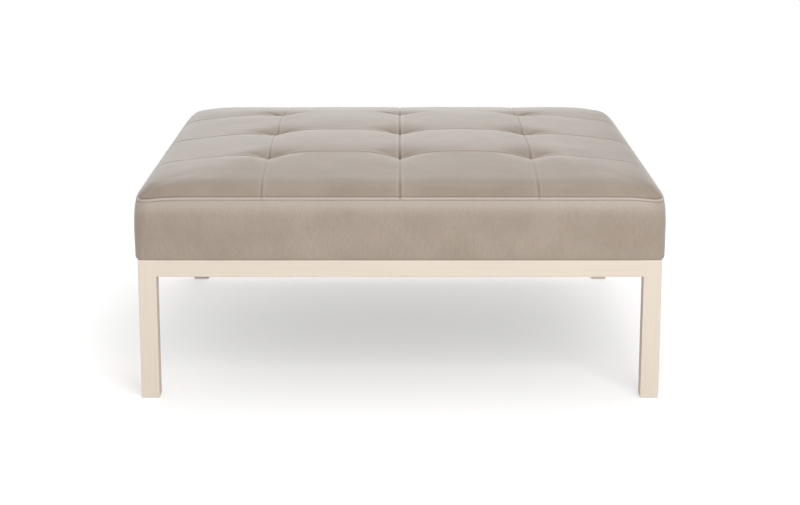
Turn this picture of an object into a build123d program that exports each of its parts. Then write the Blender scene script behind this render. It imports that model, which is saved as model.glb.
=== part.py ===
from build123d import *
import math
import os

# Ottoman coffee table in millimetres: +X to the right, +Y to the back, +Z up, the floor at zero.
# A tufted leather cushion, built on its own wooden deck, is bolted down onto a low wooden base.

# Base of whitewashed wood
table_width = 1016.0  # over the outer faces of the legs, square in plan
base_height = 278.5  # floor to the top of the rails, where the cushion rests
leg_side = 35.1
rail_height = 33.3
arris = 1.0  # small chamfer on the outer edges
tenon_thickness = 10.0
tenon_top_shoulder = 8.0
tenon_foot_shoulder = 5.0
mitre_gap = 0.6  # between the mitred ends of the two tenons that meet in a leg
joint_clearance = 0.1  # round a tenon, a dowel or a stem
cut_overrun = 2.0  # how far a cut runs past the face that it opens

# Cross rail under the middle of the base
cross_rail_width = 35.0
cross_rail_height = 25.0
cross_rail_drop = 2.0  # its top lies this far below the rails
stub_length = 10.0
stub_height = 15.0

# Corner blocks, each screwed to its two rails
block_arm = 80.0
block_tip = 12.0
block_nose = 8.0  # cut back from the edge of the leg
block_thickness = 26.0
block_drop = 1.0
block_screw_offset = 58.0  # from the inner corner of the frame
block_screw_seat = 20.0  # from the rail to the head's seat
bolt_inset = 26.0  # bolt from the inner corner of the frame, both ways

# Wood screws
screw_radius = 2.0
screw_length = 40.0
screw_head_radius = 4.0
screw_head_height = 2.4
screw_point = 5.0
screw_tip_radius = 0.4
deck_screw_length = 30.0
head_clearance = 0.8  # round a sunk head

# Glides under the legs
glide_radius = 12.0
glide_thickness = 2.6
glide_proud = 1.0
glide_edge = 0.7
glide_stem_radius = 2.5
glide_stem_length = 15.0

# Deck of the cushion: a lapped frame under a plywood panel
deck_inset = 5.0  # the deck's edge from the outer face of the legs
deck_clip = 13.5  # cut off its corners, as on the foam
deck_rail_width = 70.0
deck_rail_thickness = 22.0
deck_cross_width = 60.0
deck_panel_thickness = 12.0
deck_screw_spacing = 200.0

# Cushion form
corner_radius = 28.0  # plan radius of the cushion over the corner of the base
cover_thickness = 1.4
foot_overhang = 5.3  # band past the base at its lower edge
belly_overhang = 7.3
seam_overhang = 2.5
belly_height = 66.0  # above the base
seam_height = 121.0  # edge seam above the base
tuck_radius = 4.5  # where the band turns under
flange_width = 48.0  # turned-under strip of the band
flange_clip = 20.0  # cut off the corners of its opening
roll_radius = 61.0  # rolled edge above the seam
seam_angle = 59.0
roll_end_angle = 20.0
roll_start_angle = 66.0
crown_rise = 52.5  # flat middle of the crown above the edge seam, along the seams
edge_drop = 23.2  # fall of the crown from its middle to the roll
crown_reach = 250.0  # the fall starts this far from the edge
roll_depth = 43.0  # and ends here
pillow_rise = 4.5  # swell of a panel above its seams
tuft_pitch = 267.2
tuft_depth = 16.0
tuft_reach = 39.0  # how far the pull of a tuft spreads
tuft_fading = 1.55  # power of its fading
outer_reach = 12.0  # crown surfaces run this far past the base, to be trimmed by the roll
crown_top_margin = 24.0
soft_gap = 0.3  # between the cover and the filling

# Filling
foam_thickness = 100.0
foam_chamfer = 35.0

# Tuft ties and their washers
tie_radius = 1.0
tie_clearance = 0.3
knot_radius = 3.0
knot_height = 4.0
tuft_washer_radius = 11.0
tuft_washer_thickness = 3.0
tie_hole_radius = 3.0

# Bolts between the base and the cushion
bolt_radius = 3.0
bolt_length = 50.0
bolt_clearance = 0.4
thread_clearance = 0.05
bolt_head_across = 10.0  # across the flats
bolt_head_height = 4.0
bolt_washer_radius = 9.0
bolt_washer_thickness = 1.6
tee_flange_radius = 9.5
tee_flange_thickness = 1.5
tee_barrel_radius = 4.0
tee_barrel_length = 9.0

# Dust cover and its staples
dust_thickness = 0.6
dust_lap = 8.5
staple_crown = 10.0
staple_wire = 0.8
staple_leg = 8.0
staple_clearance = 0.05
staple_spacing = 300.0
staples_each_side = 3

# Round pieces are drawn with flats: fewest on deck screws, twine and their holes, most on a glide's disc
thin_flats = 6
flats = 8
disc_flats = 16

# Levels and places worked out from the sizes above
half = table_width / 2
leg_centre = half - leg_side / 2
inner_face = half - leg_side
rail_foot = base_height - rail_height
tenon_foot = rail_foot + tenon_foot_shoulder
tenon_top = base_height - tenon_top_shoulder
block_top = base_height - block_drop
block_foot = block_top - block_thickness
deck_foot = base_height + cover_thickness
deck_rail_top = deck_foot + deck_rail_thickness
deck_top = deck_rail_top + deck_panel_thickness
foam_top = deck_top + foam_thickness
deck_half = half - deck_inset
deck_rail_inner = deck_half - deck_rail_width
deck_cross_place = tuft_pitch / 2
bolt_place = inner_face - bolt_inset
seam_level = base_height + seam_height
flange_inner = half - flange_width
tuft_places = [(i * tuft_pitch, j * tuft_pitch) for i in (-1, 0, 1) for j in (-1, 0, 1)]
corner_turns = {"rear_right": 0, "rear_left": 90, "front_left": 180, "front_right": 270}
side_turns = {"rear": 0, "left": 90, "front": 180, "right": 270}

os.makedirs("parts", exist_ok=True)


def save(shape, name):
    export_step(shape, f"parts/{name}.step")


def span_box(xs, ys, zs):
    # a box from its limits along each axis
    sizes = [high - low for low, high in (xs, ys, zs)]
    middle = [(high + low) / 2 for low, high in (xs, ys, zs)]
    return Pos(*middle) * Box(*sizes)


def bar(radius, low, high, sides=flats):
    # a round bar along +Z
    return extrude(Pos(0, 0, low) * RegularPolygon(radius, sides), high - low)


def taper(low_radius, low, high_radius, high, sides=flats):
    # a round bar that widens or narrows along +Z
    return loft([Pos(0, 0, low) * RegularPolygon(low_radius, sides),
                 Pos(0, 0, high) * RegularPolygon(high_radius, sides)], ruled=True)


def rod(radius, start, end, sides=flats):
    # a round bar from one point to another
    way = Vector(*end) - Vector(*start)
    return Plane(origin=start, z_dir=way) * bar(radius, 0, way.length, sides)


def clipped_square(level, half_width, clip):
    # a square in plan with its corners cut off
    return Pos(0, 0, level) * make_face(chamfer(Rectangle(2 * half_width, 2 * half_width).vertices(), clip))


def clipped_prism(half_width, clip, low, high):
    return extrude(clipped_square(low, half_width, clip), high - low)


def all_corners(shape):
    # copies of a piece of the rear right corner at every corner
    return [Rot(0, 0, turn) * shape for turn in corner_turns.values()]


def gather(shapes):
    return Compound([solid for shape in shapes for solid in shape.solids()])


# Fasteners, modelled along +Z with the seat of the head at zero and the point below

def screw_shank(length, sides):
    point = taper(screw_tip_radius, -length, screw_radius, screw_point - length, sides)
    return point + bar(screw_radius, screw_point - length, 0, sides)


def pan_screw(length):
    return screw_shank(length, flats) + bar(screw_head_radius, 0, screw_head_height)


def flat_screw(length):
    head = taper(screw_radius, -screw_head_height, screw_head_radius, 0, thin_flats)
    return screw_shank(length, thin_flats) + head


block_screw_level = block_foot + block_thickness / 2
block_screw_place = inner_face - block_screw_offset
block_screw_tip = inner_face - block_screw_seat + screw_length


def block_screws():
    # the two screws of the rear right block: one runs back into the rear rail, one right into the side rail
    seat = inner_face - block_screw_seat
    screw = pan_screw(screw_length)
    back = Plane(origin=(block_screw_place, seat, block_screw_level), z_dir=(0, -1, 0)) * screw
    side = Plane(origin=(seat, block_screw_place, block_screw_level), z_dir=(-1, 0, 0)) * screw
    return back, side


def block_screw_holes(radius, start, end):
    # bores along both screws of the rear right block, between two distances from the table's middle
    place, level = block_screw_place, block_screw_level
    back = rod(radius, (place, start, level), (place, end, level))
    return back + rod(radius, (start, place, level), (end, place, level))


def leg():
    # rear right leg, with a mortise from each rail, open to each other inside
    body = span_box((inner_face, half), (inner_face, half), (glide_proud, base_height))
    outer = [edge for edge in body.edges()
             if edge.center().X + edge.center().Y > half + leg_centre + arris
             or edge.center().Z < glide_proud + arris]
    body = chamfer(outer, arris)
    depth = leg_centre + tenon_thickness / 2 + joint_clearance
    width = tenon_thickness / 2 + joint_clearance
    slot_z = (tenon_foot - joint_clearance, tenon_top + joint_clearance)
    across = (leg_centre - width, leg_centre + width)
    along = (inner_face - cut_overrun, depth)
    body -= span_box(along, across, slot_z)
    body -= span_box(across, along, slot_z)
    sink = bar(glide_radius + joint_clearance, 0, glide_thickness, disc_flats)
    sink += bar(glide_stem_radius + joint_clearance, 0, glide_thickness + glide_stem_length + joint_clearance)
    return body - Pos(leg_centre, leg_centre, 0) * sink


def glide():
    # a disc with a bevelled lower edge, and the stem that is driven into the leg
    disc = taper(glide_radius - glide_edge, 0, glide_radius, glide_edge, disc_flats)
    disc += bar(glide_radius, glide_edge, glide_thickness, disc_flats)
    stem = bar(glide_stem_radius, glide_thickness, glide_thickness + glide_stem_length)
    return Pos(leg_centre, leg_centre, 0) * (disc + stem)


def tenon():
    # tenon of the rear rail in the rear right leg, its end mitred against the side rail's tenon
    low = leg_centre - tenon_thickness / 2
    high = leg_centre + tenon_thickness / 2
    outline = Polyline((inner_face, low), (low - mitre_gap, low), (high - mitre_gap, high),
                       (inner_face, high), close=True)
    return extrude(Pos(0, 0, tenon_foot) * make_face(outline), tenon_top - tenon_foot)


def rail(with_cross_rail):
    # rear rail, flush with the legs outside
    body = span_box((-inner_face, inner_face), (inner_face, half), (rail_foot, base_height))
    long_edges = [edge for edge in body.edges().filter_by(Axis.X)
                  if edge.center().Y > leg_centre or edge.center().Z < base_height - arris]
    body = chamfer(long_edges, arris)
    body += tenon()
    body += tenon().mirror(Plane.YZ)
    bores = block_screw_holes(screw_radius + joint_clearance, inner_face - cut_overrun,
                              block_screw_tip + joint_clearance)
    body -= bores
    body -= bores.mirror(Plane.YZ)
    if with_cross_rail:
        body -= stub(joint_clearance)
    return body


def stub(clearance):
    # stub tenon of the cross rail in the rear rail
    middle = base_height - cross_rail_drop - cross_rail_height / 2
    wide = tenon_thickness / 2 + clearance
    tall = stub_height / 2 + clearance
    return span_box((-wide, wide), (inner_face - clearance, inner_face + stub_length + clearance),
                    (middle - tall, middle + tall))


def base_cross_rail():
    top = base_height - cross_rail_drop
    body = span_box((-cross_rail_width / 2, cross_rail_width / 2), (-inner_face, inner_face),
                    (top - cross_rail_height, top))
    return body + stub(0) + Rot(0, 0, 180) * stub(0)


def corner_block():
    # rear right block; its outline is drawn from the inner corner of the frame
    outline = [(block_nose, 0), (block_arm, 0), (block_arm, block_tip), (block_tip, block_arm),
               (0, block_arm), (0, block_nose)]
    face = make_face(Polyline(*[(inner_face - u, inner_face - v) for u, v in outline], close=True))
    body = extrude(Pos(0, 0, block_foot) * face, block_thickness)
    body -= rod(bolt_radius + bolt_clearance, (bolt_place, bolt_place, block_foot - cut_overrun),
                (bolt_place, bolt_place, block_top + cut_overrun))
    start = inner_face - block_arm
    body -= block_screw_holes(screw_radius + joint_clearance, start, inner_face + cut_overrun)
    body -= block_screw_holes(screw_head_radius + head_clearance, start, inner_face - block_screw_seat)
    return body


# Bolt, washer and tee nut of the rear right corner

def top_bolt():
    # hexagon head under the washer, shank up through the block and the tee nut
    head = extrude(RegularPolygon(bolt_head_across / 2, 6, major_radius=False), -bolt_head_height)
    body = head + bar(bolt_radius, 0, bolt_length)
    return Pos(bolt_place, bolt_place, block_foot - bolt_washer_thickness) * body


def washer(radius, bore, thickness, bore_sides=flats):
    # a flat washer, its upper face at zero
    return bar(radius, -thickness, 0) - bar(bore, -thickness, 0, bore_sides)


def bolt_washer():
    body = washer(bolt_washer_radius, bolt_radius + bolt_clearance, bolt_washer_thickness)
    return Pos(bolt_place, bolt_place, block_foot) * body


def tee_nut():
    foot = -tee_flange_thickness - tee_barrel_length
    body = bar(tee_flange_radius, -tee_flange_thickness, 0)
    body += bar(tee_barrel_radius, foot, -tee_flange_thickness)
    body -= bar(bolt_radius + thread_clearance, foot, 0)
    return Pos(bolt_place, bolt_place, deck_rail_top) * body


def bolt_bore():
    # stepped bore of the deck frame for one tee nut and its bolt
    axis = [(bolt_place, bolt_place, level) for level in
            (deck_foot - cut_overrun, deck_rail_top - tee_flange_thickness - tee_barrel_length,
             deck_rail_top - tee_flange_thickness, deck_rail_top + cut_overrun)]
    bore = rod(bolt_radius + bolt_clearance, axis[0], axis[3])
    bore += rod(tee_barrel_radius + joint_clearance, axis[1], axis[3])
    bore += rod(tee_flange_radius + joint_clearance, axis[2], axis[3])
    return bore


# Places of the deck screws: a row along each deck rail and each cross rail
rail_line = deck_half - deck_rail_width / 2
deck_screw_places = [(k * deck_screw_spacing, side * rail_line)
                     for k in (-2, -1, 0, 1, 2) for side in (-1, 1)]
deck_screw_places += [(side * place, k * deck_screw_spacing) for place in (rail_line, deck_cross_place)
                      for k in (-1, 1) for side in (-1, 1)]

# Places of the staples along the rear edge of the dust cover, and the reach of their legs
staple_middle = (staples_each_side - 1) / 2
staple_places = [((k - staple_middle) * staple_spacing, flange_inner + dust_lap / 2)
                 for k in range(staples_each_side)]
dust_foot = base_height - dust_thickness
staple_top = dust_foot + staple_leg


def deck_pilots():
    foot = deck_top - deck_screw_length - joint_clearance
    return [rod(screw_radius + joint_clearance, (x, y, foot), (x, y, deck_top + cut_overrun), thin_flats)
            for x, y in deck_screw_places]


def staple_slots():
    # slots for the two legs of every staple, on all four sides
    wide = staple_wire / 2 + staple_clearance
    slots = []
    for x, y in staple_places:
        for side in (-1, 1):
            centre = x + side * (staple_crown - staple_wire) / 2
            slots.append(span_box((centre - wide, centre + wide), (y - wide, y + wide),
                                  (dust_foot - cut_overrun, staple_top + staple_clearance)))
    return [Rot(0, 0, turn) * slot for turn in side_turns.values() for slot in slots]


def cut_by(body, tools):
    # the body less those tools whose middle lies over it
    box = body.bounding_box()
    for tool in tools:
        middle = tool.center(CenterOf.BOUNDING_BOX)
        if box.min.X < middle.X < box.max.X and box.min.Y < middle.Y < box.max.Y:
            body -= tool
    return body


def deck_rail(laps_over):
    # rear rail of the deck frame, halved at the corners; the front and rear rails lap over the side rails
    body = span_box((-deck_half, deck_half), (deck_rail_inner, deck_half), (deck_foot, deck_rail_top))
    lap_level = deck_foot + deck_rail_thickness / 2
    under = (deck_foot - cut_overrun, lap_level)
    over = (lap_level, deck_rail_top + cut_overrun)
    across = (deck_rail_inner - cut_overrun, deck_half + cut_overrun)
    end = span_box((deck_rail_inner, deck_half + cut_overrun), across, under if laps_over else over)
    body -= end
    body -= end.mirror(Plane.YZ)
    if laps_over:
        for side in (-1, 1):
            body -= Pos(side * deck_cross_place, 0, 0) * deck_cross_tongue(joint_clearance, cut_overrun)
    return body & clipped_prism(deck_half, deck_clip, deck_foot, deck_rail_top)


def deck_cross_tongue(clearance, overrun):
    # lower half of the cross rail's end, let into the underside of the rear deck rail
    wide = deck_cross_width / 2 + clearance
    return span_box((-wide, wide), (deck_rail_inner - overrun, rail_line + clearance),
                    (deck_foot - overrun, deck_foot + deck_rail_thickness / 2))


def deck_cross_rail(side):
    body = span_box((-deck_cross_width / 2, deck_cross_width / 2), (-deck_rail_inner, deck_rail_inner),
                    (deck_foot, deck_rail_top))
    tongue = deck_cross_tongue(0, 0)
    body += tongue
    body += tongue.mirror(Plane.XZ)
    return Pos(side * deck_cross_place, 0, 0) * body


def deck_panel():
    body = clipped_prism(deck_half, deck_clip, deck_rail_top, deck_top)
    pilot_radius = screw_radius + joint_clearance
    sink = bar(pilot_radius, -deck_panel_thickness - cut_overrun, 0, thin_flats)
    sink += taper(pilot_radius, -screw_head_height, screw_head_radius + joint_clearance, 0, thin_flats)
    for x, y in deck_screw_places:
        body -= Pos(x, y, deck_top) * sink
    tie_hole = bar(tie_hole_radius, deck_rail_top - cut_overrun, deck_top + cut_overrun, thin_flats)
    for x, y in tuft_places:
        body -= Pos(x, y, 0) * tie_hole
    return body


# Cushion: its outer form, and the same form drawn in by a thickness for what lies under the cover

roll_middle = half + seam_overhang - roll_radius * math.sin(math.radians(seam_angle))
roll_centre_level = seam_level - roll_radius * math.cos(math.radians(seam_angle))
roll_steps = 3
above_seam = seam_level + crown_rise + crown_top_margin


def plan(level, half_width, corner):
    return Pos(0, 0, level) * RectangleRounded(2 * half_width, 2 * half_width, corner)


def band_overhang(rise):
    # of the band past the base at a rise above it: fullest at the belly, less above and below by a parabola
    if rise < belly_height:
        return belly_overhang - (belly_overhang - foot_overhang) * (1 - rise / belly_height) ** 2
    share = (rise - belly_height) / (seam_height - belly_height)
    return belly_overhang - (belly_overhang - seam_overhang) * share ** 2


tuck_turns = (0, 45, 90)
band_row_shares = (0.5, 0.8, 1)


def side_block(inset):
    # from the base to the edge seam, rounded under at the foot
    tuck = tuck_radius - inset
    rows = [(inset + tuck * (1 - math.cos(turn)), foot_overhang - tuck * (1 - math.sin(turn)))
            for turn in map(math.radians, tuck_turns)]
    rows += [(share * seam_height, band_overhang(share * seam_height)) for share in band_row_shares]
    return loft([plan(base_height + rise, half + overhang - inset, corner_radius + overhang - inset)
                 for rise, overhang in rows], ruled=True)


def roll_block(inset):
    # the rolled edge above the seam, then a slope that stays above the crown
    def roll_plan(angle):
        turn = math.radians(angle)
        reach = roll_radius - inset
        return plan(roll_centre_level + reach * math.cos(turn), roll_middle + reach * math.sin(turn),
                    corner_radius + seam_overhang - inset)
    step = (roll_end_angle - roll_start_angle) / roll_steps
    plans = [roll_plan(roll_start_angle + k * step) for k in range(roll_steps + 1)]
    last = plans[-1].center().Z
    narrowing = (above_seam - last) / math.tan(math.radians(roll_end_angle))
    last_half = plans[-1].bounding_box().max.X
    plans.append(plan(above_seam, last_half - narrowing, corner_radius))
    whole = span_box((-table_width, table_width), (-table_width, table_width), (seam_level, above_seam))
    return loft(plans, ruled=True) & whole


def drop(distance):
    # fall of the crown at a distance inside the base's outer face
    return edge_drop * max(0, (crown_reach - distance) / (crown_reach - roll_depth))


def crown_level(x, y):
    return seam_level + crown_rise - math.hypot(drop(half - abs(x)), drop(half - abs(y)))


crown_edge = half + outer_reach
tuft_lines = [-tuft_pitch, 0, tuft_pitch]
crown_lines = [-crown_edge, *tuft_lines, crown_edge]
row_shares = (0, 0.2, 0.5, 0.8, 1)  # depths of a row of panels where its form is drawn
edge_swell_share = 0.3


def crown_section(y, swell, inset):
    # outline of the crown at one depth: an arc over each panel, pulled down in line with the tufts
    nearest = min(abs(y - line) for line in tuft_lines)
    pull = tuft_depth * math.exp(-(nearest / tuft_reach) ** tuft_fading)

    def line_point(x):
        return x, y, crown_level(x, y) - (pull if x in tuft_lines else 0) - inset

    def arc_over(left, right):
        middle = (left + right) / 2
        top = (middle, y, crown_level(middle, y) + swell - inset)
        return ThreePointArc(line_point(left), top, line_point(right))

    arcs = [arc_over(left, right) for left, right in zip(crown_lines, crown_lines[1:])]
    foot = Polyline(line_point(crown_edge), (crown_edge, y, deck_top), (-crown_edge, y, deck_top),
                    line_point(-crown_edge))
    return make_face(Wire([*arcs, *foot.edges()]))


def crown_strip(front, back, inset):
    # one row of panels from front to back, swollen in the middle and flat on the seams
    sections = []
    for share in row_shares:
        nearer = front if share < max(row_shares) / 2 else back
        end_share = 0 if nearer in tuft_lines else edge_swell_share
        middle_share = 4 * share * (1 - share)
        swell = pillow_rise * (middle_share + end_share * (1 - middle_share))
        sections.append(crown_section(front + share * (back - front), swell, inset))
    return loft(sections, ruled=True)


def form_strips(inset):
    # the cushion above the edge seam, as four strips between the rows of tufts
    roll = roll_block(inset)
    return [crown_strip(front, back, inset) & roll for front, back in zip(crown_lines, crown_lines[1:])]


def top_panels():
    # sixteen sewn panels, row by row from the front
    panels = []
    for outer, inner in zip(form_strips(0), form_strips(cover_thickness)):
        skin = outer - inner
        for left, right in zip(crown_lines, crown_lines[1:]):
            column = span_box((left, right), (-table_width, table_width), (base_height, above_seam))
            panels.append(skin & column)
    return panels


def band():
    # rear length of the band with its turned-under strip, cut along the diagonals at the corners
    skin = side_block(0) - side_block(cover_thickness)
    skin -= clipped_prism(flange_inner, flange_clip, base_height - cut_overrun, seam_level)
    wedge = make_face(Polyline((0, 0), (table_width, table_width), (-table_width, table_width), close=True))
    skin &= extrude(Pos(0, 0, base_height - cut_overrun) * wedge, seam_height + 2 * cut_overrun)
    return cut_by(skin, staple_slots())


def foam():
    shoulder = foam_top - foam_chamfer
    body = clipped_prism(deck_half, deck_clip, deck_top, shoulder)
    return body + loft([clipped_square(shoulder, deck_half, deck_clip),
                        clipped_square(foam_top, deck_half - foam_chamfer, deck_clip)], ruled=True)


def tie_holes(radius):
    hole = bar(radius, deck_top - cut_overrun, above_seam, thin_flats)
    return [Pos(x, y, 0) * hole for x, y in tuft_places]


def fibre_wrap(foam_body):
    inset = cover_thickness + soft_gap
    body = side_block(inset)
    for strip in form_strips(inset):
        body += strip
    body -= clipped_prism(deck_half, deck_clip, base_height - cut_overrun, deck_top)
    body -= foam_body
    return cut_by(body, tie_holes(tie_radius + tie_clearance))


def tuft_tie(x, y):
    # a doubled twine from the pinch of the cover down to its knot under the washer
    top = crown_level(x, y) - tuft_depth - cover_thickness - soft_gap
    foot = deck_rail_top - tuft_washer_thickness
    knot = bar(knot_radius, foot - knot_height, foot, thin_flats)
    return Pos(x, y, 0) * (knot + bar(tie_radius, foot, top, thin_flats))


def tuft_washer(x, y):
    body = washer(tuft_washer_radius, tie_radius + tie_clearance, tuft_washer_thickness, thin_flats)
    return Pos(x, y, deck_rail_top) * body


def dust_cover():
    # flat against the deck frame in the middle, stepped down over the band's turned-under strip at its edge
    step_half = flange_inner - soft_gap
    body = clipped_prism(flange_inner + dust_lap, flange_clip, dust_foot, base_height)
    body += clipped_prism(step_half, flange_clip, dust_foot, deck_foot)
    body -= clipped_prism(step_half - dust_thickness, flange_clip, dust_foot - cut_overrun,
                          deck_foot - dust_thickness)
    for turn in corner_turns.values():
        body -= Rot(0, 0, turn) * rod(bolt_radius + bolt_clearance, (bolt_place, bolt_place, dust_foot),
                                      (bolt_place, bolt_place, deck_foot + cut_overrun))
    return cut_by(body, staple_slots())


def staple():
    # a flat crown under the dust cover and two legs up into the deck frame
    wire = (-staple_wire / 2, staple_wire / 2)
    body = span_box((-staple_crown / 2, staple_crown / 2), wire, (dust_foot - staple_wire, dust_foot))
    leg_bar = span_box(wire, wire, (dust_foot, staple_top))
    for side in (-1, 1):
        body += Pos(side * (staple_crown - staple_wire) / 2, 0, 0) * leg_bar
    return body


# Base
for corner, turn in corner_turns.items():
    save(Rot(0, 0, turn) * leg(), f"leg_{corner}")
    save(Rot(0, 0, turn) * corner_block(), f"corner_block_{corner}")
    save(Rot(0, 0, turn) * glide(), f"glide_{corner}")
for side, turn in side_turns.items():
    save(Rot(0, 0, turn) * rail(side in ("front", "rear")), f"rail_{side}")
save(base_cross_rail(), "base_cross_rail")
save(gather([screw for pair in map(all_corners, block_screws()) for screw in pair]), "corner_block_screws")

# Deck of the cushion and its fastenings
corner_bores = all_corners(bolt_bore())
frame_bores = corner_bores + deck_pilots() + staple_slots()
for side, turn in side_turns.items():
    save(cut_by(Rot(0, 0, turn) * deck_rail(side in ("front", "rear")), frame_bores), f"deck_rail_{side}")
for name, side in (("left", -1), ("right", 1)):
    save(cut_by(deck_cross_rail(side), frame_bores), f"deck_cross_rail_{name}")
save(deck_panel(), "deck_panel")
deck_screw = flat_screw(deck_screw_length)
save(gather([Pos(x, y, deck_top) * deck_screw for x, y in deck_screw_places]), "deck_screws")
save(gather(all_corners(top_bolt())), "top_bolts")
save(gather(all_corners(bolt_washer())), "bolt_washers")
save(gather(all_corners(tee_nut())), "tee_nuts")

# Filling, ties and cover
foam_body = foam()
save(cut_by(foam_body, tie_holes(tie_radius + tie_clearance)), "foam_core")
save(fibre_wrap(foam_body), "fibre_wrap")
save(gather([tuft_tie(x, y) for x, y in tuft_places]), "tuft_ties")
save(gather([tuft_washer(x, y) for x, y in tuft_places]), "tuft_washers")
save(gather(top_panels()), "cover_top_panels")
rear_band = band()
for side, turn in side_turns.items():
    save(Rot(0, 0, turn) * rear_band, f"cover_band_{side}")
save(dust_cover(), "dust_cover")
save(gather([Rot(0, 0, turn) * Pos(x, y, 0) * staple() for turn in side_turns.values()
             for x, y in staple_places]), "dust_cover_staples")
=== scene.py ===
import math

import bmesh
import bpy
from mathutils import Matrix, Vector, noise


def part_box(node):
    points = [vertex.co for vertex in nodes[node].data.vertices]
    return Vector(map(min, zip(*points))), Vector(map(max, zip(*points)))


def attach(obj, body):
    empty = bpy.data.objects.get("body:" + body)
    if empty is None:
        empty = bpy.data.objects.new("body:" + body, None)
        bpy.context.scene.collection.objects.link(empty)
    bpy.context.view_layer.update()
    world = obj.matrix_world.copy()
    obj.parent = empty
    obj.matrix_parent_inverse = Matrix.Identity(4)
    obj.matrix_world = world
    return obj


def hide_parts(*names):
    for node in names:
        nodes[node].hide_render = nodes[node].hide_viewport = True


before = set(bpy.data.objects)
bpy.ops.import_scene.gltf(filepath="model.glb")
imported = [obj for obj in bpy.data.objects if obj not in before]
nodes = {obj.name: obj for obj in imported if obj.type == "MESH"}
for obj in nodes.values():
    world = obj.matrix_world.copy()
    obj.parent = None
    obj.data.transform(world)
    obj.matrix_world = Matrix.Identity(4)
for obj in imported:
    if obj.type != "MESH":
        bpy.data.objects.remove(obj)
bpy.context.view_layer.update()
mm = 0.001  # the table's sizes are in millimetres, the studio's and Blender's are in metres
baseTop = round(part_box("rail_front")[1].z / mm, 3)  # level of the rails' top, where the cushion rests
baseHalf = round(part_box("leg_front_right")[1].x / mm, 3)  # from the middle to the outer face of the legs


# Small helpers

def toLinear(hexColour):
    # sRGB hex to the linear values that shaders use, fully opaque
    channels = [int(hexColour[i:i + 2], 16) / 255 for i in (1, 3, 5)]
    return [c / 12.92 if c <= 0.04045 else ((c + 0.055) / 1.055) ** 2.4 for c in channels] + [1.0]


def addNode(owner, kind, inputs=None, **settings):
    # one node with its settings; an input is a value, or the output that links to it. Inputs 6 and 7 of a
    # Mix node are its colours, and its output 2 is the mixed colour
    tree = owner.node_tree
    node = tree.nodes.new(kind)
    for name, value in settings.items():
        setattr(node, name, value)
    for name, value in (inputs or {}).items():
        if isinstance(value, bpy.types.NodeSocket):
            tree.links.new(value, node.inputs[name])
        else:
            node.inputs[name].default_value = value
    return node


def emptyMaterial(name):
    # a material without nodes but for its object coordinates
    material = bpy.data.materials.new(name)
    material.use_nodes = True
    material.node_tree.nodes.clear()
    place = addNode(material, "ShaderNodeTexCoord").outputs["Object"]
    return material, place


def newMaterial(name):
    # a material with its surface shader and its object coordinates
    material, place = emptyMaterial(name)
    shader = addNode(material, "ShaderNodeBsdfPrincipled")
    addNode(material, "ShaderNodeOutputMaterial", {"Surface": shader.outputs["BSDF"]})
    return material, shader, place


def feed(material, shader, **inputs):
    # sets the shader's inputs or links them; _ stands for the blank in an input's name
    for name, value in inputs.items():
        socket = shader.inputs[name.replace("_", " ")]
        if isinstance(value, bpy.types.NodeSocket):
            material.node_tree.links.new(value, socket)
        else:
            socket.default_value = value


def pieceFrom(bm, name, material):
    # a finished mesh as an object of the table
    mesh = bpy.data.meshes.new(name)
    bm.to_mesh(mesh)
    bm.free()
    mesh.shade_smooth()
    mesh.materials.append(material)
    piece = bpy.data.objects.new(name, mesh)
    bpy.context.scene.collection.objects.link(piece)
    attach(piece, "root")
    return piece


def ramp(low, high, value):
    # 0 below low, 1 above high, smooth between
    t = min(1.0, max(0.0, (value - low) / (high - low)))
    return t * t * (3 - 2 * t)


def bell(distance, width):
    # 1 at no distance, about a third at the width, and soon nothing past it
    return math.exp(-(distance / width) ** 2)


# Camera, fitted to the photograph

view = {"distance": 4089.2, "height": 1121.7, "downDegrees": 13.015, "lens": 85.54, "sensor": 36.0}

cameraData = bpy.data.cameras.new("camera")
cameraData.lens = view["lens"]
cameraData.sensor_width = view["sensor"]
camera = bpy.data.objects.new("camera", cameraData)
camera.location = (0, -view["distance"] * mm, view["height"] * mm)
camera.rotation_euler = (math.radians(90 - view["downDegrees"]), 0, 0)
bpy.context.scene.collection.objects.link(camera)
bpy.context.scene.camera = camera
bpy.context.scene.view_settings.view_transform = "Standard"


# Studio: pale floor that fades into white, white surroundings, soft lamps

studio = {
    "white": "#FFFFFF",
    # the eye sees the floor lifted by a plain glow, and it turns to pure white between the two reaches
    "floorSize": 40.0, "floorColour": "#F2F2F2", "floorGlow": 0.435, "nearReach": 0.8, "farReach": 1.7,
    # light from the surroundings, brighter near the horizon than overhead, and what gloss mirrors there
    "horizon": 0.82, "overhead": 0.45, "glossHorizon": 1.0, "glossOverhead": 0.35, "overheadFrom": 0.6,
    # name, place, aim, width, watts
    "lamps": [
        ("lampKey", (1.3, -3.8, 2.75), (0, 0, 0.3), 2.0, 58.0),
        ("lampFront", (0.3, -4.6, 1.1), (0, 0, 0.35), 1.8, 33.0),
        ("lampBehind", (-0.4, 4.2, 1.9), (0, 0, 0.4), 3.0, 22.0),
        ("lampAbove", (0.2, 1.0, 3.8), (0, 0, 0.4), 1.8, 25.0),
    ],
}


def seeingRays(owner):
    # 1 for rays from the camera or through a surface, and 1 for those and for mirrored rays
    rays = addNode(owner, "ShaderNodeLightPath").outputs
    straight = addNode(owner, "ShaderNodeMath", {0: rays["Is Camera Ray"], 1: rays["Is Transmission Ray"]},
                       operation="MAXIMUM").outputs[0]
    every = addNode(owner, "ShaderNodeMath", {0: straight, 1: rays["Is Glossy Ray"]},
                    operation="MAXIMUM").outputs[0]
    return straight, every


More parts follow.
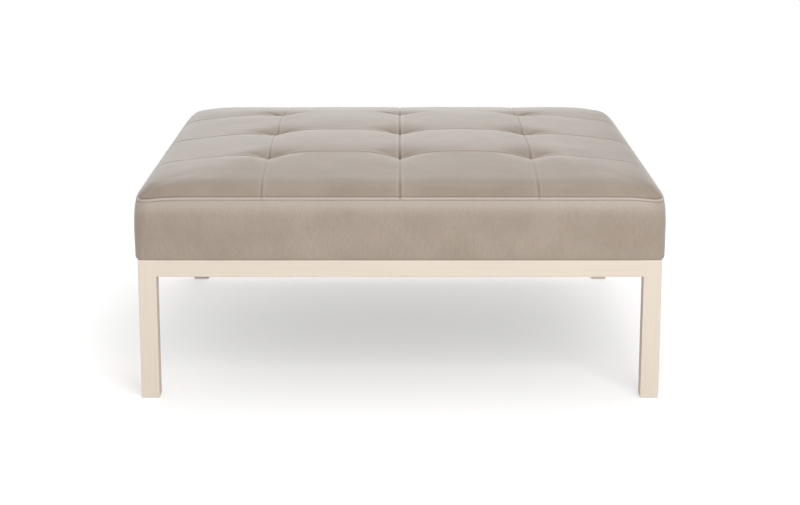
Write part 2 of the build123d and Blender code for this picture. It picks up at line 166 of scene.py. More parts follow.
def surroundings():
    # light falls from a soft sky, the eye sees plain white, and gloss mirrors a white that darkens overhead
    world = bpy.data.worlds.new("studio")
    world.use_nodes = True
    world.node_tree.nodes.clear()
    direction = addNode(world, "ShaderNodeTexCoord").outputs["Generated"]
    height = addNode(world, "ShaderNodeSeparateXYZ", {0: direction}).outputs["Z"]
    levels = []
    for horizon, overhead in (("horizon", "overhead"), ("glossHorizon", "glossOverhead")):
        level = addNode(world, "ShaderNodeMapRange", {
            "Value": height, "From Min": 0.0, "From Max": studio["overheadFrom"],
            "To Min": studio[horizon], "To Max": studio[overhead]}, interpolation_type="SMOOTHSTEP")
        levels.append(level.outputs[0])
    straight, every = seeingRays(world)
    whiteLevel = addNode(world, "ShaderNodeMath", {0: straight, 1: levels[1]}, operation="MAXIMUM")
    sky = addNode(world, "ShaderNodeBackground", {
        "Color": toLinear(studio["white"]), "Strength": levels[0]})
    white = addNode(world, "ShaderNodeBackground", {
        "Color": toLinear(studio["white"]), "Strength": whiteLevel.outputs[0]})
    backdrop = addNode(world, "ShaderNodeMixShader", {0: every, 1: sky.outputs[0], 2: white.outputs[0]})
    addNode(world, "ShaderNodeOutputWorld", {"Surface": backdrop.outputs[0]})
    return world


def floorPaint():
    # matt white paint that takes the shadow and goes over into pure white further out
    material, place = emptyMaterial("paintedStudioFloor")
    reach = addNode(material, "ShaderNodeVectorMath", {0: place}, operation="LENGTH").outputs["Value"]
    far = addNode(material, "ShaderNodeMapRange", {
        "Value": reach, "From Min": studio["nearReach"], "From Max": studio["farReach"]},
        interpolation_type="SMOOTHSTEP").outputs[0]
    seen = seeingRays(material)[1]
    glowLevel = addNode(material, "ShaderNodeMath", {0: seen, 1: studio["floorGlow"]}, operation="MULTIPLY")
    farShare = addNode(material, "ShaderNodeMath", {0: seen, 1: far}, operation="MULTIPLY")
    paint = addNode(material, "ShaderNodeBsdfDiffuse", {"Color": toLinear(studio["floorColour"])})
    glow = addNode(material, "ShaderNodeEmission", {
        "Color": toLinear(studio["white"]), "Strength": glowLevel.outputs[0]})
    near = addNode(material, "ShaderNodeAddShader", {0: paint.outputs[0], 1: glow.outputs[0]})
    white = addNode(material, "ShaderNodeEmission", {"Color": toLinear(studio["white"]), "Strength": 1.0})
    mixed = addNode(material, "ShaderNodeMixShader", {
        0: farShare.outputs[0], 1: near.outputs[0], 2: white.outputs[0]})
    addNode(material, "ShaderNodeOutputMaterial", {"Surface": mixed.outputs[0]})
    return material


def studioFloor():
    bm = bmesh.new()
    bmesh.ops.create_grid(bm, x_segments=2, y_segments=2, size=studio["floorSize"] / 2)
    mesh = bpy.data.meshes.new("floor")
    bm.to_mesh(mesh)
    bm.free()
    mesh.materials.append(floorPaint())
    floor = bpy.data.objects.new("floor", mesh)
    bpy.context.scene.collection.objects.link(floor)


bpy.context.scene.world = surroundings()
studioFloor()
for name, place, aim, width, watts in studio["lamps"]:
    lampData = bpy.data.lights.new(name, "AREA")
    lampData.size = width
    lampData.energy = watts
    lamp = bpy.data.objects.new(name, lampData)
    lamp.location = place
    lamp.rotation_euler = (Vector(aim) - Vector(place)).to_track_quat("-Z", "Y").to_euler()
    bpy.context.scene.collection.objects.link(lamp)
print("studio: floor, surroundings and", len(studio["lamps"]), "lamps")


# Brushed matte leather of the cover: a short nap that scatters light, fine upright brush marks and soft
# cloudy shading; greyer and lighter where it is seen at a grazing angle; painted shade in the seams, at the
# tufts and along the edge strip, and painted highlight on the welts, the edge strip and the top of the band

leather = {
    # the last two colours are a painted highlight on the welts, the edge strip and the top of the band, and
    # painted shade in the seams, at the tufts and along the strip
    "colour": "#A19283", "pale": "#B3A496", "deep": "#8F8070", "paintedHighlight": "#C4B9AF", "paintedCreaseShade": "#6F6153",
    # width and length of a brush mark, width of a cloud and of the grain; marks and grain are drawn coarser
    # than the real ones, which are too fine to show
    "mark": 1.6, "markLength": 13.0, "cloud": 90.0, "grain": 1.7,
    # how much of the clouds and of the painted crease shade shows, and how dark and light the marks and
    # specks get
    "cloudShare": 0.28, "creaseShadeShare": 0.75, "streakLevels": (0.92, 1.08), "speckLevels": (0.95, 1.05),
    # the part of each noise that is spread from dark to light
    "cloudSpread": (0.32, 0.68), "streakSpread": (0.3, 0.7), "speckSpread": (0.35, 0.65),
    "roughness": 0.46, "ior": 1.5, "sheen": 0.4, "sheenRoughness": 0.4, "sheenTint": "#F4F2F0",
    "bump": 0.25, "bumpDepth": 0.4,
}


def brushedLeather():
    material, shader, place = newMaterial("brushedTaupeLeather")
    across, along = 1 / (leather["mark"] * mm), 1 / (leather["markLength"] * mm)
    stretched = addNode(material, "ShaderNodeMapping", {"Vector": place, "Scale": (across, across, along)})
    streaks = addNode(material, "ShaderNodeTexNoise", {
        "Vector": stretched.outputs[0], "Scale": 1.0, "Detail": 3.0, "Roughness": 0.6})
    clouds = addNode(material, "ShaderNodeTexNoise", {
        "Vector": place, "Scale": 1 / (leather["cloud"] * mm), "Detail": 4.0, "Roughness": 0.55})
    grain = addNode(material, "ShaderNodeTexNoise", {
        "Vector": place, "Scale": 1 / (leather["grain"] * mm), "Detail": 2.0})
    tone = addNode(material, "ShaderNodeMapRange", {
        "Value": clouds.outputs[0], "From Min": leather["cloudSpread"][0],
        "From Max": leather["cloudSpread"][1]})
    cloudy = addNode(material, "ShaderNodeMix", {
        0: tone.outputs[0], 6: toLinear(leather["deep"]), 7: toLinear(leather["pale"])}, data_type="RGBA")
    even = addNode(material, "ShaderNodeMix", {
        0: leather["cloudShare"], 6: toLinear(leather["colour"]), 7: cloudy.outputs[2]}, data_type="RGBA")
    levels = []
    for pattern, spread, shades in ((streaks, "streakSpread", "streakLevels"),
                                    (grain, "speckSpread", "speckLevels")):
        level = addNode(material, "ShaderNodeMapRange", {
            "Value": pattern.outputs[0], "From Min": leather[spread][0], "From Max": leather[spread][1],
            "To Min": leather[shades][0], "To Max": leather[shades][1]})
        levels.append(level.outputs[0])
    marks = addNode(material, "ShaderNodeMath", {0: levels[0], 1: levels[1]}, operation="MULTIPLY")
    marked = addNode(material, "ShaderNodeVectorMath", {0: even.outputs[2], 1: marks.outputs[0]},
                     operation="MULTIPLY")
    # painted highlight from the cover's attribute: paler on the welts, the edge strip and the top of the
    # band
    paintedHighlight = addNode(material, "ShaderNodeAttribute", attribute_name="paintedHighlight").outputs["Fac"]
    highlighted = addNode(material, "ShaderNodeMix", {
        0: paintedHighlight, 6: marked.outputs[0], 7: toLinear(leather["paintedHighlight"])}, data_type="RGBA")
    # painted shade from the cover's attribute: darker in the seams, at the tufts and along the edge strip
    paintedCreaseShade = addNode(material, "ShaderNodeAttribute", attribute_name="paintedCreaseShade").outputs["Fac"]
    darkened = addNode(material, "ShaderNodeMath", {0: paintedCreaseShade, 1: leather["creaseShadeShare"]},
                       operation="MULTIPLY")
    finished = addNode(material, "ShaderNodeMix", {
        0: darkened.outputs[0], 6: highlighted.outputs[2], 7: toLinear(leather["paintedCreaseShade"])}, data_type="RGBA")
    relief = addNode(material, "ShaderNodeMath", {0: streaks.outputs[0], 1: grain.outputs[0]},
                     operation="ADD")
    bump = addNode(material, "ShaderNodeBump", {
        "Height": relief.outputs[0], "Strength": leather["bump"], "Distance": leather["bumpDepth"] * mm})
    feed(material, shader, Base_Color=finished.outputs[2], Roughness=leather["roughness"],
         IOR=leather["ior"], Sheen_Weight=leather["sheen"], Sheen_Roughness=leather["sheenRoughness"],
         Sheen_Tint=toLinear(leather["sheenTint"]), Normal=bump.outputs[0])
    return material


# Whitewashed wood of the base: pale pigment rubbed into the grain, matte, with soft long grain lines, and a
# painted highlight along the upper edge

wash = {
    # the last colour is the painted highlight along the upper edge
    "colour": "#E2D5C5", "pale": "#E5D8C8", "grainColour": "#DACBB9", "edge": "#F0E6DA",
    # spacing of the rings and of the pores, which are drawn coarser to show, and how far both run
    "ring": 5.0, "pore": 0.8, "length": 220.0,
    # the part of each noise that is spread from one colour to the other
    "ringSpread": (0.38, 0.66), "poreSpread": (0.52, 0.72),
    # the painted highlight along the upper edge: where it begins and is full, below the rails' top, and how
    # much of it shows
    "edgeFrom": 3.5, "edgeFull": 1.0, "edgeHighlightShare": 0.8,
    "roughness": 0.55, "ior": 1.45, "bump": 0.15, "bumpDepth": 0.2,
    # each leg and rail takes another place in the pattern, counted on from these
    "firstLeg": 3.1, "firstRail": 9.7, "shiftShares": (1.0, 0.7, 0.4),
}


def whitewashedWood(name, along, shift):
    # grain that runs along one axis, in another place of the pattern for each piece
    material, shader, place = newMaterial(name)
    patterns = []
    for spacing, shares, detail, roughness, bend in (("ring", wash["shiftShares"], 5.0, 0.62, 0.4),
                                                     ("pore", (1.0, 1.0, 1.0), 3.0, 0.7, 0.0)):
        stretch = [1.0 if axis == along else wash["length"] / wash[spacing] for axis in "XYZ"]
        moved = addNode(material, "ShaderNodeMapping", {
            "Vector": place, "Location": [shift * share for share in shares],
            "Scale": [factor / (wash["length"] * mm) for factor in stretch]})
        pattern = addNode(material, "ShaderNodeTexNoise", {
            "Vector": moved.outputs[0], "Scale": 1.0, "Detail": detail, "Roughness": roughness,
            "Distortion": bend})
        patterns.append(pattern.outputs[0])
    rings, pores = patterns
    ring = addNode(material, "ShaderNodeMapRange", {
        "Value": rings, "From Min": wash["ringSpread"][0], "From Max": wash["ringSpread"][1]})
    pore = addNode(material, "ShaderNodeMapRange", {
        "Value": pores, "From Min": wash["poreSpread"][0], "From Max": wash["poreSpread"][1]})
    body = addNode(material, "ShaderNodeMix", {
        0: ring.outputs[0], 6: toLinear(wash["pale"]), 7: toLinear(wash["colour"])}, data_type="RGBA")
    lined = addNode(material, "ShaderNodeMix", {
        0: pore.outputs[0], 6: body.outputs[2], 7: toLinear(wash["grainColour"])}, data_type="RGBA")
    # painted highlight: each leg and rail is paler in its top few millimetres
    level = addNode(material, "ShaderNodeSeparateXYZ", {0: place}).outputs["Z"]
    edge = addNode(material, "ShaderNodeMapRange", {
        "Value": level, "From Min": (baseTop - wash["edgeFrom"]) * mm,
        "From Max": (baseTop - wash["edgeFull"]) * mm, "To Max": wash["edgeHighlightShare"]})
    edgeHighlighted = addNode(material, "ShaderNodeMix", {
        0: edge.outputs[0], 6: lined.outputs[2], 7: toLinear(wash["edge"])}, data_type="RGBA")
    bump = addNode(material, "ShaderNodeBump", {
        "Height": pores, "Strength": wash["bump"], "Distance": wash["bumpDepth"] * mm})
    feed(material, shader, Base_Color=edgeHighlighted.outputs[2], Roughness=wash["roughness"], IOR=wash["ior"],
         Normal=bump.outputs[0])
    return material


# Plain materials, each with its own fine pattern between two shades

patternSpread = (0.35, 0.65)  # the part of the noise that is spread from one shade to the other
patternBump = 0.3


def patterned(name, low, high, size, roughness, metallic=0.0, ior=1.5, stretch=(1, 1, 1), depth=0.1):
    material, shader, place = newMaterial(name)
    scaled = addNode(material, "ShaderNodeMapping", {
        "Vector": place, "Scale": [factor / (size * mm) for factor in stretch]})
    pattern = addNode(material, "ShaderNodeTexNoise", {
        "Vector": scaled.outputs[0], "Scale": 1.0, "Detail": 4.0, "Roughness": 0.6})
    tone = addNode(material, "ShaderNodeMapRange", {
        "Value": pattern.outputs[0], "From Min": patternSpread[0], "From Max": patternSpread[1]})
    colour = addNode(material, "ShaderNodeMix", {
        0: tone.outputs[0], 6: toLinear(low), 7: toLinear(high)}, data_type="RGBA")
    bump = addNode(material, "ShaderNodeBump", {
        "Height": pattern.outputs[0], "Strength": patternBump, "Distance": depth * mm})
    feed(material, shader, Base_Color=colour.outputs[2], Roughness=roughness, Metallic=metallic, IOR=ior,
         Normal=bump.outputs[0])
    return material


coverLeather = brushedLeather()
# close-laid sewing thread, a shade off the leather, with a faint shine
seamThread = patterned("bondedPolyesterThread", "#9A8A7A", "#AC9C8C", 0.6, 0.6)
# black felted cloth: dull, with a faint mottle of matted fibres
dustCloth = patterned("spunBondedCloth", "#151515", "#262626", 1.5, 0.9)
# light grey metal with a soft shine and a cloudy crystal bloom
zincSteel = patterned("zincPlatedSteel", "#A9ACB0", "#C8CACC", 3.0, 0.35, metallic=1.0, depth=0.05)
# brown fibres that run up the tie, dulled by their wax
waxedTwine = patterned("waxedTwine", "#8A7350", "#B09A72", 1.0, 0.6, stretch=(1, 1, 0.4), depth=0.3)
# smooth, nearly black and half matte
mouldedPlastic = patterned("mouldedPolypropylene", "#1C1B1A", "#262422", 0.8, 0.5, ior=1.49, depth=0.03)
# honey-coloured softwood with long rough streaks, along X or along Y
pineX = patterned("sawnPineAcross", "#B98F5C", "#D6B280", 4.0, 0.7, stretch=(0.04, 1, 1), depth=0.3)
pineY = patterned("sawnPineDeep", "#B98F5C", "#D6B280", 4.0, 0.7, stretch=(1, 0.04, 1), depth=0.3)
# pale smooth face veneer with fine streaks along X
sandedPlywood = patterned("sandedBirchPlywood", "#CDA874", "#E0C293", 5.0, 0.6, stretch=(0.05, 1, 1))


# Every CAD node that stays visible gets its finish

finishes = {
    "base_cross_rail": pineY, "deck_rail_front": pineX, "deck_rail_rear": pineX, "deck_rail_left": pineY,
    "deck_rail_right": pineY, "deck_cross_rail_left": pineY, "deck_cross_rail_right": pineY,
    "deck_panel": sandedPlywood, "deck_screws": zincSteel, "corner_block_screws": zincSteel,
    "top_bolts": zincSteel, "bolt_washers": zincSteel, "tee_nuts": zincSteel,
    "dust_cover_staples": zincSteel, "tuft_ties": waxedTwine, "tuft_washers": mouldedPlastic,
    "dust_cover": dustCloth,
}
for index, corner in enumerate(("front_left", "front_right", "rear_left", "rear_right")):
    finishes["leg_" + corner] = whitewashedWood("whitewashedLeg" + str(index + 1), "Z",
                                                wash["firstLeg"] + index)
    finishes["corner_block_" + corner] = pineX
    finishes["glide_" + corner] = mouldedPlastic
for index, side in enumerate(("front", "rear", "left", "right")):
    along = "X" if side in ("front", "rear") else "Y"
    finishes["rail_" + side] = whitewashedWood("whitewashedRail" + str(index + 1), along,
                                               wash["firstRail"] + index)
for name, material in finishes.items():
    mesh = nodes[name].data
    mesh.materials.clear()
    mesh.materials.append(material)
print("finishes:", len(finishes), "nodes in", len(bpy.data.materials), "materials")


# Cushion form: the leather is laid out flat, u across and v deep, and each of its points is put in place

cushion = {
    # height of the band from the rails' top to the edge seam, rise of the crown above that seam, and how
    # far the seam overhangs the legs
    "bandHeight": 121.0, "crownRise": 52.5, "seamOverhang": 2.5,
    # fall of the crown towards an edge: how much, how far inside the legs' face it begins, how softly, and
    # how squarely the falls of two edges meet at a corner
    "edgeDrop": 23.2, "crownReach": 250.0, "crownBlend": 0.006, "cornerFall": 4.5,
    # the rolled edge is an arc: how far inside the legs' face it begins, its centre inside that face and
    # below the seam, its radius, and the degrees from upright where it begins and meets the seam
    "rollDepth": 42.7, "rollInset": 49.8, "rollBelowSeam": 31.4, "rollRadius": 61.0,
    "rollStart": 6.7, "seamAngle": 59.0,
    # rounding of the corners in plan: at the seam, at the foot, the least of the part turned under, and
    # between which distances inside the legs' face it comes in on the top
    "corner": 28.0, "footCorner": 13.0, "leastCorner": 4.0, "cornerFrom": 208.0, "cornerFull": 33.0,
    # the edge seam sags at the corners: how much, how far along the edge, and between which distances
    # inside the legs' face it comes in on the top
    "cornerSag": 5.0, "sagReach": 42.0, "sagFrom": 40.0, "sagFull": 1.0,
    # tufts: spacing, depth, width and steepness of the dimple, its four lobes, and how far it reaches
    "tuftPitch": 267.2, "tuftDepth": 16.0, "tuftWidth": 39.0, "tuftPower": 1.55, "tuftLobe": 0.3,
    "tuftReach": 200.0,
    # panels: swell of the inner and outer ones, how flat it is in the middle, and its end before the edge
    "pillow": 4.6, "outerPillow": 1.8, "pillowPower": 2.4, "pillowEnd": 8.0,
    # seams: depth and width of the valley, height, place and width of the welt each side of it
    "seamGroove": 2.2, "grooveWidth": 1.5, "ridge": 0.7, "ridgePlace": 5.0, "ridgeWidth": 2.2,
    # strength of the seams beside the middle one, how much they fade in an outer panel and over what
    # reach, and where before the edge they come back
    "sideSeam": 0.6, "seamFade": 0.6, "fadeReach": 60.0, "rollSeamFrom": 85.0, "rollSeamFull": 60.0,
    # a tuft deepens the seams that meet in it: how far out and how much
    "pullReach": 30.0, "pullDeepens": 0.8,
    # a soft fold runs out and back from each tuft: reach, depth, half width, direction in degrees, bend
    # back to the seam, how early it is deepest, and the share that the fold on the other side has
    "foldReach": 52.0, "foldDepth": 3.6, "foldWidth": 6.5, "foldTurn": 36.0, "foldBend": 0.004,
    "foldEarly": 0.6, "shortFold": 0.5,
    # the strip along the edge: place, depth and width of its seam, its height and the width of its side
    "topSeamPlace": 4.8, "topSeamDepth": 1.5, "topSeamWidth": 1.1, "stripRise": 0.9,
    "stripFrom": 0.6, "stripFull": 2.2,
    # painted shade in the creases: width at a tuft; place, width and share at the strip; share of any seam,
    # what its strength and a tuft add, its width and what a tuft adds
    "tuftShadeWidth": 3.5, "edgeShadePlace": 5.6, "edgeShadeWidth": 1.0, "edgeShade": 0.8,
    "seamShade": 0.3, "strengthShade": 0.4, "pullShade": 0.3, "shadeWidth": 0.9, "shadeWidens": 0.7,
    # painted highlight: share on the strip and where it ends, on the welts, and on the top of the band with
    # the levels where it begins, is full, ends and is gone
    "stripHighlight": 0.85, "stripHighlightFull": 3.6, "stripHighlightEnd": 4.8, "ridgeHighlight": 0.3,
    "bandHighlight": 0.45, "bandHighlightLevels": (85.0, 116.0, 117.0, 119.0),
    # slight waves of the stuffing: rate per millimetre and height of each, between which distances before
    # the edge they come in on the top, and over what height at the band's foot and below its last level
    "waves": [(0.011, 0.9), (0.035, 0.35)], "waveFrom": 8.0, "waveFull": 30.0,
    "bandWaveFull": 25.0, "bandWaveTop": 119.0,
    # distances between the lines of the mesh: first from a seam, growth, most, and where, before the
    # edge, these end; then the lines' own distances from the edge
    "fineStep": 1.3, "stepGrowth": 1.28, "mostStep": 12.0, "stepsEnd": 48.0,
    "edgeLines": [40, 33.5, 27.5, 22, 17, 13, 10, 8, 6.6, 5.6, 4.8, 4.0, 3.2, 1.8, 0],
    # level above the rails' top and overhang of the band, from the edge seam down and then inwards
    "band": [(119.6, 2.9), (118.6, 2.7), (117.6, 3.2), (115.5, 3.8), (112, 4.5), (108, 5.2), (101, 5.9),
             (93, 6.5), (85, 6.9), (77, 7.2), (68, 7.3), (58, 7.2), (48, 7.0), (38, 6.8), (28, 6.6),
             (19, 6.3), (12, 6.0), (8, 5.8), (5.5, 5.5), (3.6, 4.8), (2.2, 3.8), (1.0, 2.2), (0.2, 0.2),
             (0, -2.5), (0, -8), (0, -18), (0, -32), (0, -47.5), (1.1, -48.5), (1.1, -51), (1.1, -56)],
}

seamLevel = baseTop + cushion["bandHeight"]
crownLevel = seamLevel + cushion["crownRise"]
rollFrom = baseHalf - cushion["rollDepth"]
rollCentre = baseHalf - cushion["rollInset"]
rollLevel = seamLevel - cushion["rollBelowSeam"]
rollStart = math.radians(cushion["rollStart"])
unrolledHalf = rollFrom + cushion["rollRadius"] * math.radians(cushion["seamAngle"] - cushion["rollStart"])
tuftPitch = cushion["tuftPitch"]
tuftLines = [-tuftPitch, 0.0, tuftPitch]


def acrossTop(along):
    # from a distance along the leather from the middle: the distance in plan, and the crown's fall there
    reach = abs(along)
    if reach <= rollFrom:
        flatPart = baseHalf - cushion["crownReach"]
        share = (reach - flatPart) / (cushion["crownReach"] - cushion["rollDepth"])
        fall = cushion["edgeDrop"] * (share + math.sqrt(share * share + cushion["crownBlend"])) / 2
        return along, fall
    turn = rollStart + (reach - rollFrom) / cushion["rollRadius"]
    place = rollCentre + cushion["rollRadius"] * math.sin(turn)
    level = rollLevel + cushion["rollRadius"] * math.cos(turn)
    return math.copysign(place, along), crownLevel - level


def roundCorner(x, y, radius):
    # moves a point of a square ring onto the same ring with a rounded corner
    reach = max(abs(x), abs(y))
    short = reach - min(abs(x), abs(y))
    if radius <= 0 or short >= radius:
        return x, y
    turn = math.radians(45 - 45 * short / radius)
    if abs(y) > abs(x):
        turn = math.radians(90) - turn
    centre = reach - radius
    return (math.copysign(centre + radius * math.cos(turn), x),
            math.copysign(centre + radius * math.sin(turn), y))


def cornerSag(x, y):
    # how far the edge seam drops near a corner
    fromCorner = max(abs(x), abs(y)) - min(abs(x), abs(y))
    return cushion["cornerSag"] * bell(fromCorner, cushion["sagReach"])


def panelSwell(along):
    # 0 on a seam, 1 in the middle of a panel
    reach = abs(along)
    if reach <= tuftPitch:
        share = abs(2 * (reach / tuftPitch) - 1)
    else:
        share = abs(2 * (reach - tuftPitch) / (unrolledHalf - cushion["pillowEnd"] - tuftPitch) - 1)
    return max(0.0, 1 - share ** cushion["pillowPower"])


def tuftPull(x, y):
    # how far the tufts pull a point down, as a share of their depth
    pull = 0.0
    for tuftX in tuftLines:
        for tuftY in tuftLines:
            dx, dy = x - tuftX, y - tuftY
            away = math.hypot(dx, dy)
            if away < cushion["tuftReach"]:
                # the leather is pulled least along the diagonals; 1 keeps the middle from a division by 0
                lobes = 1 + cushion["tuftLobe"] * (2 * dx * dy / (away * away + 1)) ** 2
                pull += math.exp(-(away * lobes / cushion["tuftWidth"]) ** cushion["tuftPower"])
    return pull


def topPoint(u, v):
    # the place of a point of the flat leather on the crowned, tufted and rolled top
    x, fallX = acrossTop(u)
    y, fallY = acrossTop(v)
    most = max(fallX, fallY)
    blunt = cushion["cornerFall"]
    near = ramp(cushion["edgeDrop"], cushion["crownRise"], most)
    fall = (fallX ** blunt + fallY ** blunt) ** (1 / blunt) * (1 - near) + most * near
    level = crownLevel - fall
    outer = max(abs(u), abs(v)) > tuftPitch
    level += cushion["outerPillow" if outer else "pillow"] * panelSwell(u) * panelSwell(v)
    level -= cushion["tuftDepth"] * tuftPull(x, y)
    ring = max(abs(x), abs(y))
    level -= cornerSag(x, y) * ramp(baseHalf - cushion["sagFrom"], baseHalf - cushion["sagFull"], ring)
    rounding = ramp(baseHalf - cushion["cornerFrom"], baseHalf - cushion["cornerFull"], ring)
    x, y = roundCorner(x, y, (cushion["corner"] + cushion["seamOverhang"]) * rounding)
    return Vector((x, y, level))


def bandPoint(u, v, level, overhang):
    # the place of a point of the band, which hangs from the point u, v of the leather's edge
    x, y = acrossTop(u)[0], acrossTop(v)[0]
    rise = level / cushion["bandHeight"]
    sag = cornerSag(x, y) * rise
    share = (baseHalf + overhang) / (baseHalf + cushion["seamOverhang"])
    corner = cushion["footCorner"] + (cushion["corner"] - cushion["footCorner"]) * rise
    x, y = roundCorner(x * share, y * share, max(corner + overhang, cushion["leastCorner"]))
    return Vector((x, y, baseTop + level - sag))


def seamDistance(along):
    return min(abs(along - line) for line in tuftLines)


def seamStrength(across, along):
    # the middle seam is the deepest; a seam fades in an outer panel and shows again on the roll
    reach = abs(along)
    outer = ramp(tuftPitch, tuftPitch + cushion["fadeReach"], reach)
    roll = ramp(unrolledHalf - cushion["rollSeamFrom"], unrolledHalf - cushion["rollSeamFull"], reach)
    seam = 1.0 if abs(across) < tuftPitch / 2 else cushion["sideSeam"]
    return seam * (1 - cushion["seamFade"] * outer * (1 - roll))


def foldRelief(u, v):
    # the dimple's folds at the nearest tuft: a long one outwards and back, a short one inwards
    tuftX = min(tuftLines, key=lambda line: abs(u - line))
    tuftY = min(tuftLines, key=lambda line: abs(v - line))
    outward = -1 if tuftX <= 0 else 1
    turn = math.radians(cushion["foldTurn"])
    relief = 0.0
    for side, share in ((outward, 1.0), (-outward, cushion["shortFold"])):
        dx, dy = (u - tuftX) * side, v - tuftY
        along = dx * math.cos(turn) + dy * math.sin(turn)
        across = dy * math.cos(turn) - dx * math.sin(turn)
        across += cushion["foldBend"] * along * along
        reach = cushion["foldReach"] * share
        if 0 < along < reach:
            fade = math.sin(math.pi * (along / reach) ** cushion["foldEarly"])
            relief -= cushion["foldDepth"] * share * fade * bell(across, cushion["foldWidth"])
    return relief


def topRelief(u, v):
    # relief along the normal, and how much painted shade (dark) and painted highlight (pale) the leather
    # gets there
    edge = unrolledHalf - max(abs(u), abs(v))
    tuft = min(math.hypot(u - tuftX, v - tuftY) for tuftX in tuftLines for tuftY in tuftLines)
    pull = bell(tuft, cushion["pullReach"])
    grooves = []
    ridges = []
    # painted shade at a tuft and along the strip, and below in each seam
    creaseShades = [bell(tuft, cushion["tuftShadeWidth"]),
               cushion["edgeShade"] * bell(edge - cushion["edgeShadePlace"], cushion["edgeShadeWidth"])]
    for across, along in ((u, v), (v, u)):
        away, strength = seamDistance(across), seamStrength(across, along)
        grooves.append(strength * bell(away, cushion["grooveWidth"]))
        ridges.append(strength * bell(away - cushion["ridgePlace"], cushion["ridgeWidth"]))
        shadeShare = cushion["seamShade"] + cushion["strengthShade"] * strength + cushion["pullShade"] * pull
        creaseShades.append(shadeShare * bell(away, cushion["shadeWidth"] + cushion["shadeWidens"] * pull))
    ridge = max(ridges) * (1 - max(grooves))
    relief = -cushion["seamGroove"] * (1 + cushion["pullDeepens"] * pull) * max(grooves)
    relief += cushion["ridge"] * ridge + foldRelief(u, v)
    relief -= cushion["topSeamDepth"] * bell(edge - cushion["topSeamPlace"], cushion["topSeamWidth"])
    if edge < cushion["topSeamPlace"]:
        side = cushion["topSeamPlace"] - edge
        relief += cushion["stripRise"] * ramp(cushion["stripFrom"], cushion["stripFull"], side)
    # painted highlight on the edge strip and on the welts beside each seam
    onStrip = 1 - ramp(cushion["stripHighlightFull"], cushion["stripHighlightEnd"], edge)
    paintedHighlight = max(cushion["stripHighlight"] * onStrip, cushion["ridgeHighlight"] * ridge)
    return relief, max(creaseShades), paintedHighlight


def bandHighlight(level):
    # painted highlight: the band is paler below the edge seam
    begins, full, ends, gone = cushion["bandHighlightLevels"]
    return cushion["bandHighlight"] * ramp(begins, full, level) * (1 - ramp(ends, gone, level))


def stuffingWaves(point):
    return sum(noise.noise(point * rate) * height for rate, height in cushion["waves"])


def stops(length):
    # steps from a seam towards the middle of a panel, fine first
    places, step = [0.0], cushion["fineStep"]
    while places[-1] + step < length - step / 2:
        places.append(places[-1] + step)
        step = min(step * cushion["stepGrowth"], cushion["mostStep"])
    return places


def sheetLines():
    # the mesh's lines from edge to edge of the flat leather, the same both ways, one on each seam
    halfPanel = stops(tuftPitch / 2)
    innerPanel = halfPanel + [tuftPitch / 2] + [tuftPitch - place for place in reversed(halfPanel)]
    outerLength = unrolledHalf - tuftPitch
    outerPanel = [place for place in stops(outerLength) if place < outerLength - cushion["stepsEnd"]]
    outerPanel += [outerLength - place for place in cushion["edgeLines"]]
    halfSheet = innerPanel + [tuftPitch + place for place in outerPanel[1:]]
    return [-place for place in reversed(halfSheet)] + halfSheet[1:]


def flatLeather(bm):
    # a flat sheet, with the band drawn out of its edge row by row: a vertex's depth is its row
    lines = sheetLines()
    steps = len(lines) - 1
    bmesh.ops.create_grid(bm, x_segments=steps, y_segments=steps, size=1)
    for vertex in bm.verts:
        vertex.co.x = lines[round((vertex.co.x + 1) / 2 * steps)]
        vertex.co.y = lines[round((vertex.co.y + 1) / 2 * steps)]
    edges = [edge for edge in bm.edges if edge.is_boundary]
    for _ in cushion["band"]:
        made = bmesh.ops.extrude_edge_only(bm, edges=edges)["geom"]
        edges = [item for item in made if isinstance(item, bmesh.types.BMEdge) and item.is_boundary]
        corners = [item for item in made if isinstance(item, bmesh.types.BMVert)]
        bmesh.ops.translate(bm, verts=corners, vec=(0, 0, -1))
    underside = bmesh.ops.holes_fill(bm, edges=edges, sides=0)["faces"]
    bmesh.ops.triangulate(bm, faces=underside)


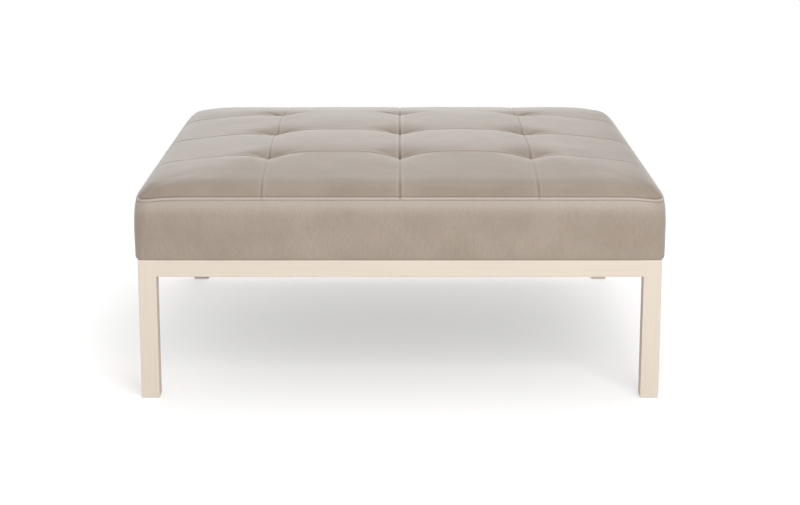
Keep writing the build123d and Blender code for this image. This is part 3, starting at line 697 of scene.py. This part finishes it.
def cushionCover():
    bm = bmesh.new()
    # both layers come before any vertex, because a new layer would make the vertices at hand invalid
    # one layer carries the painted shade, the other the painted highlight
    bm.verts.layers.float.new("paintedCreaseShade")
    bm.verts.layers.float.new("paintedHighlight")
    paintedCreaseShade, paintedHighlight = bm.verts.layers.float["paintedCreaseShade"], bm.verts.layers.float["paintedHighlight"]
    flatLeather(bm)
    flat = {vertex: vertex.co.copy() for vertex in bm.verts}
    for vertex, place in flat.items():
        row = round(-place.z)
        if row == 0:
            vertex.co = topPoint(place.x, place.y)
        else:
            vertex.co = bandPoint(place.x, place.y, *cushion["band"][row - 1])
    bmesh.ops.recalc_face_normals(bm, faces=bm.faces)
    bm.normal_update()
    raised = {}
    for vertex, place in flat.items():
        row = round(-place.z)
        if row == 0:
            relief, vertex[paintedCreaseShade], vertex[paintedHighlight] = topRelief(place.x, place.y)
            edge = unrolledHalf - max(abs(place.x), abs(place.y))
            waviness = ramp(cushion["waveFrom"], cushion["waveFull"], edge)
        else:
            relief = 0.0
            level = cushion["band"][row - 1][0]
            vertex[paintedHighlight] = bandHighlight(level)
            waviness = ramp(0, cushion["bandWaveFull"], level)
            waviness *= ramp(0, cushion["bandWaveFull"], cushion["bandWaveTop"] - level)
        relief += stuffingWaves(vertex.co) * waviness
        raised[vertex] = vertex.co + vertex.normal * relief
    for vertex, place in raised.items():
        vertex.co = place * mm
    return bm


cover = pieceFrom(cushionCover(), "cushion_cover", coverLeather)
smoothing = cover.modifiers.new("smoothing", "SUBSURF")
smoothing.levels = 1
smoothing.render_levels = 1
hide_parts("cover_top_panels", "cover_band_front", "cover_band_rear", "cover_band_left",
            "cover_band_right", "fibre_wrap", "foam_core")
print("cover:", len(cover.data.polygons), "faces before smoothing")


# Stitch row under the edge seam, all round the band

stitches = {"pitch": 5.2, "length": 3.9, "thickness": 1.1, "level": 119.0, "overhang": 2.9}


def ringPoint(distance, half, radius):
    # point and heading at a distance round a square with rounded corners
    straight = 2 * (half - radius)
    quarter = radius * math.pi / 2
    side = int(distance // (straight + quarter)) % 4
    rest = distance % (straight + quarter)
    if rest < straight:
        point, heading = Vector((half, rest - straight / 2, 0)), 0.0
    else:
        heading = (rest - straight) / radius
        centre = half - radius
        point = Vector((centre + radius * math.cos(heading), centre + radius * math.sin(heading), 0))
    turn = Matrix.Rotation(side * math.pi / 2, 3, "Z")
    return turn @ point, heading + side * math.pi / 2


def edgeStitches():
    bm = bmesh.new()
    half = baseHalf + stitches["overhang"]
    radius = cushion["corner"] + stitches["overhang"]
    around = 8 * (half - radius) + 2 * math.pi * radius
    count = round(around / stitches["pitch"])
    for index in range(count):
        point, heading = ringPoint(index * around / count, half, radius)
        point.z = baseTop + stitches["level"] - cornerSag(point.x, point.y)
        made = bmesh.ops.create_icosphere(bm, subdivisions=1, radius=0.5)["verts"]
        bmesh.ops.scale(bm, verts=made,
                        vec=(stitches["thickness"], stitches["length"], stitches["thickness"]))
        bmesh.ops.rotate(bm, verts=made, matrix=Matrix.Rotation(heading, 3, "Z"))
        bmesh.ops.translate(bm, verts=made, vec=point)
    bmesh.ops.scale(bm, verts=bm.verts, vec=(mm, mm, mm))
    return bm


edgeRow = pieceFrom(edgeStitches(), "edge_stitches", seamThread)
print("stitches:", len(edgeRow.data.polygons), "faces")
